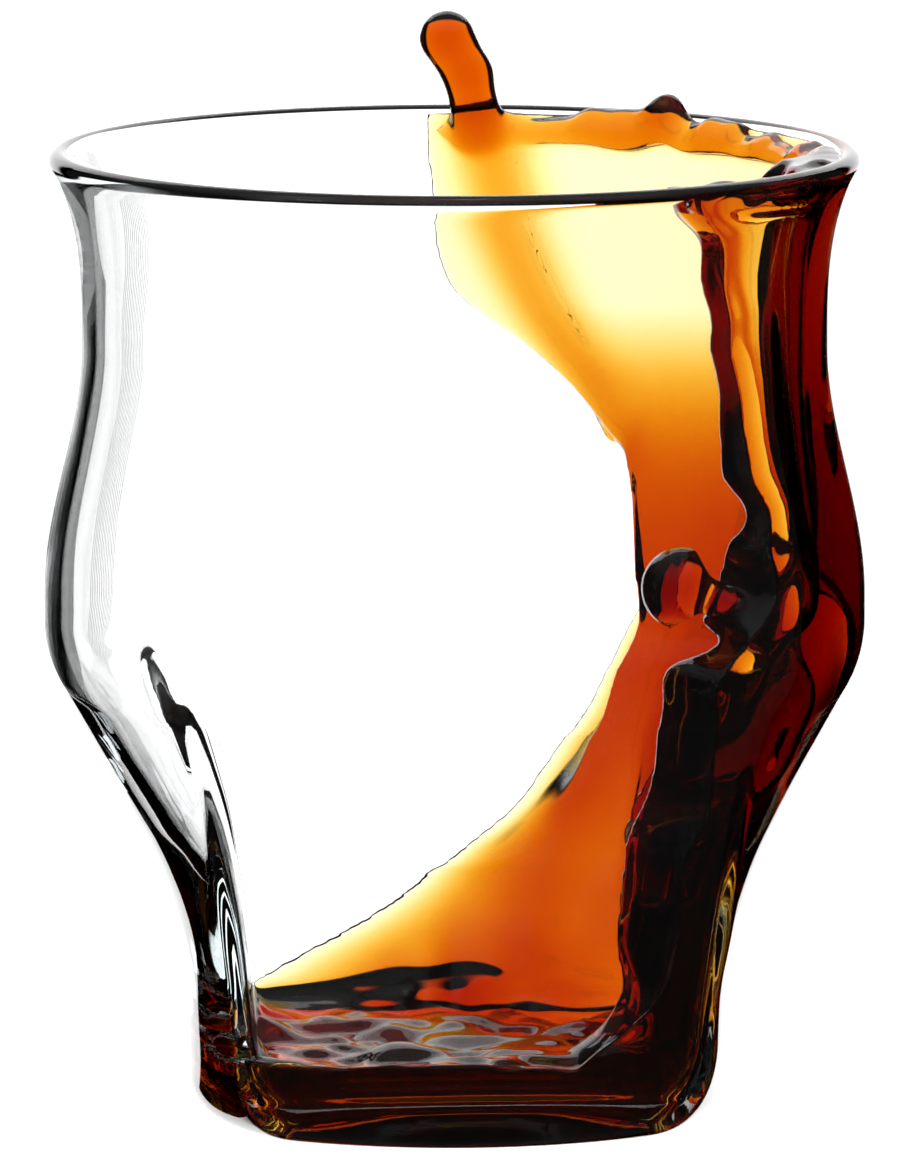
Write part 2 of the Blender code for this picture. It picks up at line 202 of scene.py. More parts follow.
@dataclass(frozen=True)
class GlowFinish:
    """A white glow, for the lights and the light table, or black where its strength is 0.

    Attributes:
        name: The material's name.
        strength: The glow.
        fade_across: Where the glow starts to fade to the sides and where it ends, in metres from the middle.
        fade_up: The same for its upper end.
        fade_down: The same for its lower end.
    """

    name: str
    strength: float
    fade_across: Pair | None = None
    fade_up: Pair = (0.0, 0.0)
    fade_down: Pair = (0.0, 0.0)

    def material(self) -> bpy.types.Material:
        """Make the material.

        Returns:
            A material that glows, or is black.
        """
        made = bpy.data.materials.new(self.name)
        made.use_nodes = True
        bench = Bench(made.node_tree)
        tint: dict[str, Any] = {}
        if self.fade_across:
            place = bench.wire("ShaderNodeTexCoord", "Object")
            parts = bench.node("ShaderNodeSeparateXYZ", Vector=place)
            across = bench.wire("ShaderNodeMath", "Value", {"operation": "ABSOLUTE"}, n0=parts.outputs["X"])
            up = Wire(bench, parts.outputs["Y"])
            share = 1.0
            for reach, ends in ((across, self.fade_across), (up, self.fade_up), (0.0 - up, self.fade_down)):
                share = bench.ramp(reach, (*ends, 1.0, 0.0), "SMOOTHSTEP") * share
            tint = {"Color": share}
        glow = bench.wire("ShaderNodeEmission", "Emission", Strength=self.strength, **tint)
        bench.node("ShaderNodeOutputMaterial", Surface=glow)
        return made


def mesh_piece(
    name: str, points: Array, faces: Sequence[Sequence[int]], finish: ClearFinish | GlowFinish
) -> bpy.types.Object:
    """Make a smooth-shaded mesh object.

    Args:
        name: The object's name.
        points: Vertex places in metres.
        faces: Vertex numbers of each face.
        finish: The look of the whole piece.

    Returns:
        The new object.
    """
    mesh = bpy.data.meshes.new(name)
    mesh.from_pydata(np.asarray(points).tolist(), [], [list(face) for face in faces])
    mesh.shade_smooth()
    mesh.materials.append(finish.material())
    piece = bpy.data.objects.new(name, mesh)
    bpy.context.scene.collection.objects.link(piece)
    return piece


def smooth_step(low: float, high: float, value: Array | float) -> Array:
    """Rise from 0 at low to 1 at high, with level ends."""
    share = np.clip((value - low) / (high - low), 0.0, 1.0)
    return share * share * (3.0 - 2.0 * share)


def soft_min(first: Array, second: Array, blend: Array | float) -> Array:
    """The smaller of two fields, rounded where they cross.

    Args:
        first: One field.
        second: The other field.
        blend: How far from the crossing the rounding reaches.

    Returns:
        The blended field.
    """
    blend = np.maximum(blend, 1e-9)
    share = np.clip(0.5 + 0.5 * (second - first) / blend, 0.0, 1.0)
    return second + (first - second) * share - blend * share * (1.0 - share)


def rounded_path(corners: Sequence[Sequence[float]], setbacks: Sequence[float], steps: int) -> Array:
    """A path through corners that rounds each one between the ends.

    Args:
        corners: Points (radius, height).
        setbacks: How far from each inner corner its rounding starts.
        steps: Segments of each rounding.

    Returns:
        Points on the path.
    """
    spots = np.array(corners, dtype=float)
    path = [spots[0]]
    for before, corner, after, setback in zip(spots, spots[1:], spots[2:], setbacks):
        first = before - corner
        second = after - corner
        reach = min(setback, *(CORNER_SHARE * np.linalg.norm(leg) for leg in (first, second)))
        first = first / np.linalg.norm(first)
        second = second / np.linalg.norm(second)
        weight = math.sqrt(max(0.0, (1.0 - first @ second) / 2.0))
        for t in np.linspace(0.0, 1.0, steps + 1):
            shares = np.array([(1.0 - t) ** 2, 2.0 * weight * t * (1.0 - t), t * t])
            ends = np.array([corner + first * reach, corner, corner + second * reach])
            path.append(shares @ ends / shares.sum())
    path.append(spots[-1])
    return np.array(path)


def cubic(start: Sequence[float], end: Sequence[float], end_slope: float, steps: int) -> Array:
    """A cubic that leaves start upright and ends with a slope, both (radius, height).

    Args:
        start: First point.
        end: Last point.
        end_slope: Change of radius with height at the end.
        steps: Number of segments.

    Returns:
        Points on the curve, without the first.
    """
    t = np.linspace(0.0, 1.0, steps + 1)[1:]
    rise = end[1] - start[1]
    radius = start[0] + (3 * t**2 - 2 * t**3) * (end[0] - start[0]) + (t**3 - t**2) * end_slope * rise
    return np.column_stack([radius, start[1] + t * rise])


@dataclass
class GlassBody:
    """The blown glass. All lengths are in millimetres, as on the solids."""

    height: float = 94.6
    rim_radius: float = 39.4
    flare: float = math.radians(27.5)
    lip: float = 2.1
    waist: Pair = (36.35, 75.5)
    belly: Pair = (40.0, 51.5)
    crease_heights: Pair = (45.5, 43.4)
    shoulder_height: float = 33.5
    shoulder_ridge: float = 36.6
    kink: Pair = (26.5, 34.9)
    kink_height: float = 21.2
    ankle_ridge: float = 33.2
    ankle_height: float = 15.0
    face_ankle_height: float = 6.5
    foot: Pair = (25.6, 32.6)
    creases: Pair = (3.4, 1.4)
    shoulder_blend: float = 3.0
    kink_blends: Pair = (9.0, 3.8)
    ankle_blend: float = 2.4
    foot_blends: Pair = (3.8, 9.8)
    floor_blend: float = 6.0
    wall_waist: float = 1.6
    wall_belly: float = 1.7
    wall_shoulder: float = 2.3
    wall_kink: Pair = (3.2, 3.0)
    wall_floor: Pair = (3.4, 3.4)
    floor: float = 3.4
    outer_ridge: float = 1.6
    inner_ridge: float = 2.0
    fold_line: Table = ((25.0, 144.0), (30.0, 146.0), (36.0, 146.0), (40.0, 143.0), (45.0, 139.0))
    fold_levels: Triple = (21.0, 27.0, 44.4)
    fold_rise: float = 1.8
    fold_width: float = 1.6
    fold_reach: float = 14.0
    crease_rise: float = 0.25
    crease_width: float = 0.45
    fold_top: Pair = (-0.5, 3.0)
    fold_sway: Pair = (0.3, 0.55)
    crease_ends: Row = (-9.0, -3.0, 3.0, 10.0)
    blend_steps: tuple[int, int] = (40, 48)
    upper_steps: tuple[int, int] = (28, 18)
    lip_steps: int = 15
    even_levels: Pair = (6.0, 90.0)
    level_gaps: Pair = (0.35, 0.06)
    face_gap: float = 0.4
    segments: int = 360
    finish: ClearFinish = ClearFinish("clear_glass", 1.5, (0.0035, 0.0016, 0.0012), 60.0, 0.00004, 0.012)

    def __post_init__(self) -> None:
        """Work out the rails once."""
        self.outside = [self._outer_rail(side) for side in Side]
        self.inside = [self._inner_rail(side) for side in Side]

    def _face_shoulder(self) -> float:
        """The face's radius at the shoulder, on the straight slope from the kink to the crease."""
        share = (self.shoulder_height - self.kink_height) / (self.crease_heights[0] - self.kink_height)
        return self.kink[0] + share * (self.belly[0] - self.kink[0])

    def _lip_points(self) -> Array:
        """The half round of the lip, from the outside over the crest to the inside."""
        half = self.lip / 2
        turns = np.linspace(-self.flare, math.pi - self.flare, self.lip_steps)
        centre = np.array((self.rim_radius - half, self.height - half))
        return centre + half * np.column_stack([np.cos(turns), np.sin(turns)])

    def _upper(self, belly: float, waist: float, end: Array) -> Array:
        """The round wall above the belly.

        Args:
            belly: Wall thickness at the belly, 0 for the outside.
            waist: Wall thickness at the waist, 0 for the outside.
            end: Where the wall meets the lip.

        Returns:
            Points from above the belly to the lip.
        """
        low = (self.belly[0] - belly, self.belly[1])
        middle = (self.waist[0] - waist, self.waist[1])
        to_waist, to_lip = self.upper_steps
        lower = cubic(low, middle, 0.0, to_waist)
        return np.vstack([lower, cubic(middle, end, math.tan(self.flare), to_lip)])

    def _outer_rail(self, side: Side) -> Array:
        """The outside on a face or along a ridge, from the underside to the lip."""
        at = side.value
        ankle_height = (self.face_ankle_height, self.ankle_height)[at]
        share = ankle_height / self.kink_height
        face_ankle = self.foot[0] + share * (self.kink[0] - self.foot[0])
        corners = (
            (0.0, 0.0),
            (self.foot[at], 0.0),
            ((face_ankle, self.ankle_ridge)[at], ankle_height),
            (self.kink[at], self.kink_height),
            ((self._face_shoulder(), self.shoulder_ridge)[at], self.shoulder_height),
            (self.belly[0], self.crease_heights[at]),
            self.belly,
        )
        low_blends = (self.foot_blends[at], self.ankle_blend, self.kink_blends[at])
        setbacks = (*low_blends, self.shoulder_blend, self.creases[at])
        path = rounded_path(corners, setbacks, self.blend_steps[0])[1:]
        return np.vstack([path, self._upper(0.0, 0.0, self._lip_points()[0])])

    def _inner_rail(self, side: Side) -> Array:
        """The inside on a face or along a ridge, from the floor to the lip."""
        at = side.value
        floor = (self.foot[at] - self.wall_floor[at], self.floor)
        corners = (
            (0.0, self.floor),
            floor,
            (self.kink[at] - self.wall_kink[at], self.kink_height),
            ((self._face_shoulder(), self.shoulder_ridge)[at] - self.wall_shoulder, self.shoulder_height),
            (self.belly[0] - self.wall_belly, self.crease_heights[at]),
            (self.belly[0] - self.wall_belly, self.belly[1]),
        )
        blend = self.floor_blend * floor[0] / (self.foot[0] - self.wall_floor[0])
        setbacks = (blend, self.kink_blends[at], self.shoulder_blend, self.creases[at])
        path = rounded_path(corners, setbacks, self.blend_steps[1])[1:]
        return np.vstack([path, self._upper(self.wall_belly, self.wall_waist, self._lip_points()[-1])])

    def _section(self, rails: list[Array], height: float, angle: Array, ridge_blend: float) -> Array:
        """The radius of one level section.

        Args:
            rails: The face rail and the ridge rail.
            height: The level.
            angle: Angles from +X in radians.
            ridge_blend: Rounding of the sharpest ridge.

        Returns:
            The radius at each angle.
        """
        face, ridge = (float(np.interp(height, rail[:, 1], rail[:, 0])) for rail in rails)
        half = ridge * math.sqrt(0.5)
        bulge = max(face - half, 1e-6)
        arc = (half**2 + bulge**2) / (2.0 * bulge)
        offset = face - arc
        sharp = max(0.0, 1.0 - math.asin(min(1.0, half / arc)) / (math.pi / 4))
        turn = (angle + math.pi / 4) % (math.pi / 2) - math.pi / 4
        near = offset * np.cos(turn) + np.sqrt(arc**2 - (offset * np.sin(turn)) ** 2)
        beside = math.pi / 2 - np.abs(turn)
        far = offset * np.cos(beside) + np.sqrt(arc**2 - (offset * np.sin(beside)) ** 2)
        return soft_min(near, far, ridge_blend * sharp)

    def outer_radius(self, height: float, angle: Array) -> Array:
        """The outside's radius at a level and angles."""
        return self._section(self.outside, height, angle, self.outer_ridge)

    def inner_radius(self, height: float, angle: Array) -> Array:
        """The inside's radius at a level and angles."""
        radius = self._section(self.inside, height, angle, self.inner_ridge)
        return radius - self._fold(height, angle, radius)

    def _fold(self, height: float, angle: Array, radius: Array) -> Array:
        """How much thicker the glass is beside one ridge, where it set in a wavy fold under the crease.

        Args:
            height: The level.
            angle: Angles from +X in radians.
            radius: The inside's radius at those angles.

        Returns:
            The extra thickness.
        """
        bottom, full, top = self.fold_levels
        shown = smooth_step(bottom, full, height) * smooth_step(*self.fold_top, top - height)
        line = math.radians(float(np.interp(height, *zip(*self.fold_line))))
        away = (line - angle + math.pi) % (2.0 * math.pi) - math.pi
        sway, turns = self.fold_sway
        across = away * radius + sway * math.sin(turns * height)
        step = smooth_step(-self.fold_width, self.fold_width, across)
        fold = self.fold_rise * shown * step * (1.0 - smooth_step(self.fold_width, self.fold_reach, across))
        ends = self.crease_ends
        crease = smooth_step(*ends[:2], across) * (1.0 - smooth_step(*ends[2:], across))
        return fold + self.crease_rise * crease * math.exp(-(((height - top) / self.crease_width) ** 2))

    def _levels(self, rails: list[Array]) -> Array:
        """The levels of the rings: close ones round the foot and the lip, and even ones up the faces."""
        faces = np.arange(self.kink_height, self.belly[1], self.face_gap)
        merged = np.unique(np.concatenate([faces] + [rail[:, 1] for rail in rails]))
        chosen = [merged[0]]
        low, high = self.even_levels
        even, close = self.level_gaps
        for level in merged[1:]:
            gap = even if low < level < high else close
            if level - chosen[-1] > gap:
                chosen.append(level)
        return np.array(chosen)

    def build(self) -> bpy.types.Object:
        """Loft the glass up the outside, over the lip and down the inside.

        Returns:
            The glass, dressed and riding on its body.
        """
        angle = np.linspace(0.0, 2.0 * math.pi, self.segments, endpoint=False)
        rings = [(self.outer_radius(level, angle), level) for level in self._levels(self.outside)]
        rings += [(np.full(self.segments, radius), level) for radius, level in self._lip_points()[1:-1]]
        rings += [(self.inner_radius(level, angle), level) for level in self._levels(self.inside)[::-1]]
        count = self.segments
        points = [
            np.column_stack([radius * np.cos(angle), radius * np.sin(angle), np.full(count, level)])
            for radius, level in rings
        ]
        faces: list[list[int]] = [list(range(count))[::-1]]
        for row in range(len(rings) - 1):
            for step in range(count):
                low = row * count
                after = (step + 1) % count
                faces.append([low + step, low + after, low + count + after, low + count + step])
        faces.append(list(range((len(rings) - 1) * count, len(rings) * count)))
        piece = mesh_piece("glass", np.vstack(points) * MM, faces, self.finish)
        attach(piece, BODY)
        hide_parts("glass_body")
        return piece


@dataclass
class SurfaceNet:
    """A box of sample points, and the quads where a field sampled on them changes sign."""

    low: Triple
    high: Triple
    step: float
    easing: int = 4

    def axes(self) -> list[Array]:
        """The sample places along X, Y and Z."""
        return [np.arange(low, high + self.step, self.step) for low, high in zip(self.low, self.high)]

    def sample(self, bend: Bend, layer: Layer) -> tuple[Array, Array]:
        """Fill the box level by level.

        Args:
            bend: Gives the places on a level from the grids of X and Y and the height.
            layer: Gives the field at those places.

        Returns:
            The sample points' places, and the field at each of them.
        """
        across, along, up = self.axes()
        x, y = np.meshgrid(across, along, indexing="ij")
        places = np.empty((*x.shape, len(up), 3), dtype=np.float32)
        values = np.empty((*x.shape, len(up)), dtype=np.float32)
        for at, height in enumerate(up):
            bent = bend(x, y, float(height))
            values[:, :, at] = layer(*bent, float(height))
            for axis, place in enumerate((*bent, height)):
                places[:, :, at, axis] = place
        return places, values

    def mesh(self, places: Array, values: Array) -> tuple[Array, Array]:
        """Put a vertex in each cell that the surface crosses and join them with quads.

        Args:
            places: The sample points' places.
            values: The field at every sample point, negative inside.

        Returns:
            Vertex places, and the vertex numbers of each quad.
        """
        inside = values < 0.0
        shape = np.array(values.shape) - 1
        corners = [(i, j, k) for i in (0, 1) for j in (0, 1) for k in (0, 1)]
        held = sum(self._shifted(inside, corner, shape).astype(np.int8) for corner in corners)
        cells = np.argwhere((held > 0) & (held < 8))
        number = np.full(shape, -1, dtype=np.int64)
        number[tuple(cells.T)] = np.arange(len(cells))
        total = np.zeros((len(cells), 3))
        crossings = np.zeros(len(cells))
        for corner in corners:
            for axis in range(3):
                if corner[axis]:
                    continue
                start = cells + corner
                end = start.copy()
                end[:, axis] += 1
                first = values[tuple(start.T)]
                second = values[tuple(end.T)]
                cut = (first < 0.0) != (second < 0.0)
                share = (first[cut] / (first[cut] - second[cut]))[:, None]
                total[cut] += places[tuple(start[cut].T)] * (1.0 - share) + places[tuple(end[cut].T)] * share
                crossings[cut] += 1
        points = total / crossings[:, None]
        quads = np.vstack([self._quads(inside, number, axis) for axis in range(3)])
        return self._eased(points, quads), quads

    def _eased(self, points: Array, quads: Array) -> Array:
        """Draw each vertex part of the way to the middle of its neighbours, a few times.

        Args:
            points: Vertex places.
            quads: Vertex numbers of each quad.

        Returns:
            The eased places.
        """
        ends = np.vstack([quads[:, [k, (k + 1) % 4]] for k in range(4)])
        count = np.bincount(ends.ravel(), minlength=len(points))
        for _ in range(self.easing):
            total = np.zeros_like(points)
            for axis in range(3):
                total[:, axis] += np.bincount(ends[:, 0], points[ends[:, 1], axis], len(points))
                total[:, axis] += np.bincount(ends[:, 1], points[ends[:, 0], axis], len(points))
            points = 0.5 * points + 0.5 * total / np.maximum(count, 1)[:, None]
        return points

    @staticmethod
    def _shifted(values: Array, corner: Sequence[int], shape: Array) -> Array:
        """The values at one corner of every cell."""
        return values[tuple(slice(start, start + size) for start, size in zip(corner, shape))]

    @staticmethod
    def _quads(inside: Array, number: Array, axis: int) -> Array:
        """The quads across the edges that run along one axis.

        Args:
            inside: Which sample points are inside.
            number: The vertex number of each cell.
            axis: The edges' axis.

        Returns:
            Vertex numbers, four to a quad, facing out.
        """
        near = np.take(inside, range(inside.shape[axis] - 1), axis)
        far = np.take(inside, range(1, inside.shape[axis]), axis)
        edges = np.argwhere(near != far)
        second, third = (axis + 1) % 3, (axis + 2) % 3
        fits = (edges[:, second] > 0) & (edges[:, third] > 0)
        fits &= (edges[:, second] < number.shape[second]) & (edges[:, third] < number.shape[third])
        edges = edges[fits]
        ring = []
        for back_second, back_third in ((1, 1), (0, 1), (0, 0), (1, 0)):
            cell = edges.copy()
            cell[:, second] -= back_second
            cell[:, third] -= back_third
            ring.append(number[tuple(cell.T)])
        quads = np.column_stack(ring)
        flip = ~near[tuple(edges.T)]
        quads[flip] = quads[flip][:, ::-1]
        return quads


@dataclass
class Ripple:
    """Smooth noise on a plane, the same on each run."""

    seed: int
    cell: Pair
    count: int = 64
    knots: Array = field(init=False)

    def __post_init__(self) -> None:
        """Draw the noise once."""
        self.knots = np.random.default_rng(self.seed).uniform(-1.0, 1.0, (self.count, self.count))

    def at(self, across: Array, up: Array | float) -> Array:
        """The noise at places on the plane, between -1 and 1.

        Args:
            across: First coordinate.
            up: Second coordinate.

        Returns:
            The noise.
        """
        u = np.asarray(across) / self.cell[0]
        v = np.asarray(up) / self.cell[1]
        u, v = np.broadcast_arrays(u, v)
        low_u = np.floor(u).astype(int)
        low_v = np.floor(v).astype(int)
        part_u = smooth_step(0.0, 1.0, u - low_u)
        part_v = smooth_step(0.0, 1.0, v - low_v)
        u_knots, v_knots = ([(low + i) % self.count for i in (0, 1)] for low in (low_u, low_v))
        corner = [[self.knots[u_knot, v_knot] for v_knot in v_knots] for u_knot in u_knots]
        near = corner[0][0] + (corner[1][0] - corner[0][0]) * part_u
        far = corner[0][1] + (corner[1][1] - corner[0][1]) * part_u
        return near + (far - near) * part_v


@dataclass
class Coffee:
    """The coffee: a crescent on the wall, a pool, a roll at the lip, a finger and a drop.

    Lengths are in millimetres and angles in degrees from +X. A table pairs heights with values, and a pair
    of levels says where a change up the wall starts and ends. Each row of stems has the angle, radius,
    height and thickness at both ends, and the blend that joins it to the rest.
    """

    glass: GlassBody
    step: float = 0.34
    overlap: float = 0.2
    foot_overlap: float = 0.8
    dense_depth: float = 0.9
    dense_width: float = 4.2
    packing: float = 3.0
    pool_top: float = 8.0
    pool_swell: float = 1.5
    pool_chop: float = 0.6
    pool_blend: float = 1.6
    net_low: Triple = (-29.0, -35.5, 1.6)
    net_high: Triple = (42.0, 42.0, 106.0)
    front_edge: Table = (
        (8.0, -66.0), (13.0, -54.0), (20.0, -50.0), (28.0, -53.0), (34.0, -50.0),
        (40.0, -53.0), (46.0, -55.0), (54.0, -42.0), (65.0, -43.0), (75.0, -45.0),
        (80.0, -48.0), (88.0, -50.0), (94.6, -58.0),
    )
    back_edge: Table = (
        (8.0, 178.0), (10.5, 150.0), (13.0, 122.0), (16.9, 96.0), (20.0, 84.0),
        (24.4, 73.0), (30.0, 66.0), (38.4, 59.7), (46.0, 55.0), (58.6, 54.5),
        (64.5, 61.5), (71.6, 71.0), (78.0, 85.0), (83.0, 89.0), (94.6, 89.0),
    )
    streak: Table = ((59.7, 55.8), (68.5, 61.5), (78.1, 71.3), (87.5, 78.2), (94.0, 80.0))
    back_depth: Table = (
        (8.0, 5.8), (40.0, 5.8), (46.0, 5.6), (55.0, 4.7), (60.0, 3.6),
        (67.0, 1.8), (72.0, 0.75), (76.0, 0.25), (80.0, 0.0),
    )
    wall_depth: Table = (
        (8.0, 4.0), (18.0, 6.4), (30.0, 7.6), (48.0, 7.0), (58.0, 5.5),
        (75.0, 4.6), (94.6, 4.0),
    )
    window: Table = ((54.0, -33.0), (70.0, -32.0), (85.0, -34.0), (95.0, -36.0))
    window_width: Table = ((54.0, 3.5), (58.0, 9.0), (70.0, 12.5), (80.0, 14.5), (92.0, 15.0))
    folds: tuple[tuple[Table, float, float], ...] = (
        (
            ((40.0, -32.0), (50.0, -27.0), (60.0, -17.0), (70.0, -11.0), (80.0, -8.0), (94.6, -8.0)),
            2.0,
            1.8,
        ),
        (((25.0, -20.0), (45.0, -16.0), (60.0, -6.0), (75.0, -2.0), (94.6, -1.0)), 3.0, 3.2),
        (((18.0, -38.0), (30.0, -33.0), (44.0, -38.0), (50.0, -34.0)), 2.2, 2.8),
        (((66.0, -35.5), (73.0, -34.0), (80.0, -35.5)), 0.5, 1.1),
    )
    margin: Table = ((8.0, 0.3), (20.0, 0.6), (28.0, 1.2), (44.0, 1.2), (50.0, 0.3), (60.0, 0.16))
    setback: Table = ((8.0, 0.0), (20.0, 0.0), (31.0, 2.2), (44.0, 3.0), (49.0, 0.5), (60.0, 0.0))
    fade: Table = ((8.0, 7.0), (20.0, 6.5), (30.0, 3.5), (38.0, 1.5), (46.0, 1.0), (60.0, 1.0), (67.0, 7.0))
    windows: tuple[Row, ...] = (
        (-45.0, 48.0, 4.5, 2.2, 0.9),
        (-29.0, 53.5, 3.5, 5.0, 0.7),
        (-40.0, 33.0, 4.0, 3.0, 0.6),
        (-24.0, 40.0, 4.0, 6.0, 0.6),
        (-35.0, 25.0, 5.0, 3.5, 0.6),
        (-14.0, 30.0, 5.0, 7.0, 0.55),
        (-10.0, 47.0, 4.0, 5.0, 0.6),
    )
    film: float = 0.16
    low_levels: Pair = (34.0, 56.0)
    deep_levels: Pair = (12.0, 22.0)
    soft_levels: Pair = (30.0, 46.0)
    window_levels: Pair = (52.0, 60.0)
    streak_levels: Pair = (56.0, 64.0)
    foot_levels: Pair = (14.0, 24.0)
    pool_levels: Pair = (8.5, 11.0)
    foot_side: Triple = (-12.0, 35.0, 50.0)
    degree_length: float = 0.62
    wander: Triple = (0.8, 3.0, 1.3)
    lobe: Pair = (0.5, 8.0)
    slants: Pair = (0.25, 0.5)
    rear_ripples: Triple = (0.05, 0.12, 0.3)
    rear_chop: Pair = (0.3, 0.6)
    side_ripples: Triple = (0.2, 0.1, 0.2)
    window_share: float = 0.85
    fold_end: float = 3.0
    turn_start: Pair = (-10.0, 8.0)
    turn_end: Pair = (10.0, 18.0)
    strand_rise: Pair = (1.9, 0.5)
    strand_inset: float = 1.8
    strand_width: float = 1.5
    streak_rise: float = 1.7
    streak_width: float = 3.4
    margin_width: float = 3.0
    front_bead: float = 1.6
    back_bead: Pair = (0.8, 1.7)
    edge_slope: float = 2.0
    soft_slope: float = 0.5
    roll_level: Pair = (92.6, 0.7)
    roll_thick: Pair = (1.25, 0.55)
    roll_swells: tuple[Triple, ...] = ((0.9, 52.0, 9.0), (1.2, 50.0, 5.0))
    roll_ends: Row = (-60.0, -50.0, 84.0, 89.0)
    roll_inset: float = 1.2
    roll_blend: float = 1.2
    roll_place: float = 4.0
    lip_gap: float = 0.2
    floor_gap: float = 0.01
    nudge: float = 1.5
    stems: tuple[tuple[Row, Row, float], ...] = (
        ((81.0, 34.6, 92.5, 2.5), (82.8, 34.5, 98.0, 2.3), 1.6),
        ((82.8, 34.5, 98.0, 2.3), (86.2, 34.4, 101.6, 2.75), 1.0),
        ((-40.0, 36.5, 51.0, 1.6), (-45.0, 31.5, 53.6, 1.5), 1.8),
        ((-45.0, 31.5, 53.6, 1.5), (-48.0, 29.8, 54.3, 4.0), 1.0),
        ((-38.0, 36.5, 56.0, 1.6), (-38.0, 33.0, 58.0, 1.5), 1.6),
        ((64.0, 36.2, 68.6, 0.9), (58.5, 36.4, 63.0, 1.3), 0.8),
    )
    finish: ClearFinish = ClearFinish("coffee", 1.34, (0.14, 0.56, 2.0), 160.0, 0.00003, 0.01)

    def __post_init__(self) -> None:
        """Draw the ripples once."""
        self.flow = Ripple(11, (5.5, 16.0))
        self.lobes = Ripple(23, (7.0, 7.0))
        self.fine = Ripple(37, (2.6, 5.0))
        self.waves = Ripple(5, (6.0, 5.0))
        self.chop = Ripple(9, (2.8, 2.4))

    @staticmethod
    def _along(table: Table, height: float, spread: float = 1.5) -> Pair:
        """A table's value at a height, and its change with height, both smoothed.

        Args:
            table: Pairs of height and value.
            height: Where to read it.
            spread: Heights on each side that are averaged.

        Returns:
            The value and its slope.
        """
        heights, values = zip(*table)
        reach = np.linspace(-2.0, 2.0, 17) * spread
        weight = np.exp(-0.5 * (reach / spread) ** 2)
        nearby = np.interp(height + reach, heights, values)
        value = float(weight @ nearby / weight.sum())
        slope = float((weight * reach) @ nearby / ((weight * reach) @ reach))
        return value, slope

    @staticmethod
    def _bead(distance: Array, width: float) -> Array:
        """A blunt edge: 0 at the edge and outside, 1 at the width and beyond."""
        share = np.clip(distance / width, 0.0, 1.0)
        return np.sqrt(1.0 - (1.0 - share) ** 2)

    @staticmethod
    def _under(levels: Pair, height: float) -> float:
        """1 under the first level, 0 over the second and a smooth fall between them."""
        return float(1.0 - smooth_step(*levels, height))

    def _body(self, angle: Array, height: float, arc: Array) -> Array:
        """How thick the crescent is away from its edges: a dark column at the side, then a sheet behind.

        Args:
            angle: Angles from +X in degrees.
            height: The level.
            arc: Length of a degree on the wall.

        Returns:
            The thickness.
        """
        low = self._under(self.low_levels, height)
        deep = self._under(self.deep_levels, height)
        across = angle * self.degree_length
        along, turning = self.slants
        flow = self.flow.at(across, height + along * angle)
        swirl = self.lobes.at(across + turning * height, height)
        chop = self.chop.at(angle * self.rear_chop[0], height * self.rear_chop[1])
        rear, _ = self._along(self.back_depth, height)
        even, turning, choppy = self.rear_ripples
        rear = rear * (1.0 + even * flow + turning * low * swirl + choppy * deep * chop)
        side, _ = self._along(self.wall_depth, height)
        even, more, turning = self.side_ripples
        side = side * (1.0 + (even + more * low) * flow + turning * low * swirl)
        middle, _ = self._along(self.window, height)
        wide, _ = self._along(self.window_width, height)
        clear = self.window_share * smooth_step(*self.window_levels, height)
        side = side * (1.0 - clear * np.exp(-(((angle - middle) / wide) ** 4)))
        end = self.fold_end
        for path, rise, wide in self.folds:
            middle, slope = self._along(path, height)
            off = (angle - middle) * arc / np.hypot(1.0, slope * arc)
            first, last = path[0][0], path[-1][0]
            shown = smooth_step(first - end, first + end, height)
            shown = shown * self._under((last - end, last + end), height)
            side = side + rise * shown * np.exp(-((off / wide) ** 2))
        for middle, level, wide, tall, share in self.windows:
            off = ((angle - middle) / wide) ** 2 + ((height - level) / tall) ** 2
            side = side * (1.0 - share * np.exp(-(off**2)))
        start, end = (high + more * low for high, more in (self.turn_start, self.turn_end))
        return side + (rear - side) * smooth_step(start, end, angle)

    def _thickness(self, angle: Array, height: float, radius: Array) -> Array:
        """How thick the crescent is on the wall.

        Args:
            angle: Angles from +X in degrees.
            height: The level.
            radius: The wall's radius at those angles.

        Returns:
            The thickness, below 0 outside the crescent.
        """
        arc = np.radians(1.0) * radius
        front, front_slope = self._along(self.front_edge, height)
        back, back_slope = self._along(self.back_edge, height)
        sway, place, pace = self.wander
        from_front = (angle - front) * arc / np.hypot(1.0, front_slope * arc)
        from_front = from_front + sway * self.fine.at(np.full_like(angle, place), height * pace)
        sway, place = self.lobe
        from_back = (back - angle) * arc / np.hypot(1.0, back_slope * arc)
        from_back = from_back + sway * self.lobes.at(np.full_like(angle, place), height)
        low = self._under(self.low_levels, height)
        soft = self._under(self.soft_levels, height)
        body = self._body(angle, height, arc)
        rise, more = self.strand_rise
        strand = (rise + more * low) * np.exp(-(((from_front - self.strand_inset) / self.strand_width) ** 2))
        path, _ = self._along(self.streak, height)
        on_streak = np.exp(-((((angle - path) * arc) / self.streak_width) ** 2))
        on_streak = on_streak * smooth_step(*self.streak_levels, height)
        fade, _ = self._along(self.fade, height)
        setback, _ = self._along(self.setback, height)
        margin, _ = self._along(self.margin, height)
        margin = self.film + (margin - self.film) * smooth_step(0.0, self.margin_width, from_back)
        share = np.clip((from_back - setback) / fade, 0.0, 1.0)
        share = 0.5 * (share + smooth_step(0.0, 1.0, share))
        body = margin + np.maximum(body - margin, 0.0) * share
        total = np.maximum(body + strand + self.streak_rise * on_streak, self.film)
        total = total * self._bead(from_front, self.front_bead)
        total = total + self.edge_slope * np.minimum(from_front, 0.0)
        wide, wider = self.back_bead
        slope = self.edge_slope - self.soft_slope * soft
        return total * self._bead(from_back, wide + wider * soft) + slope * np.minimum(from_back, 0.0)

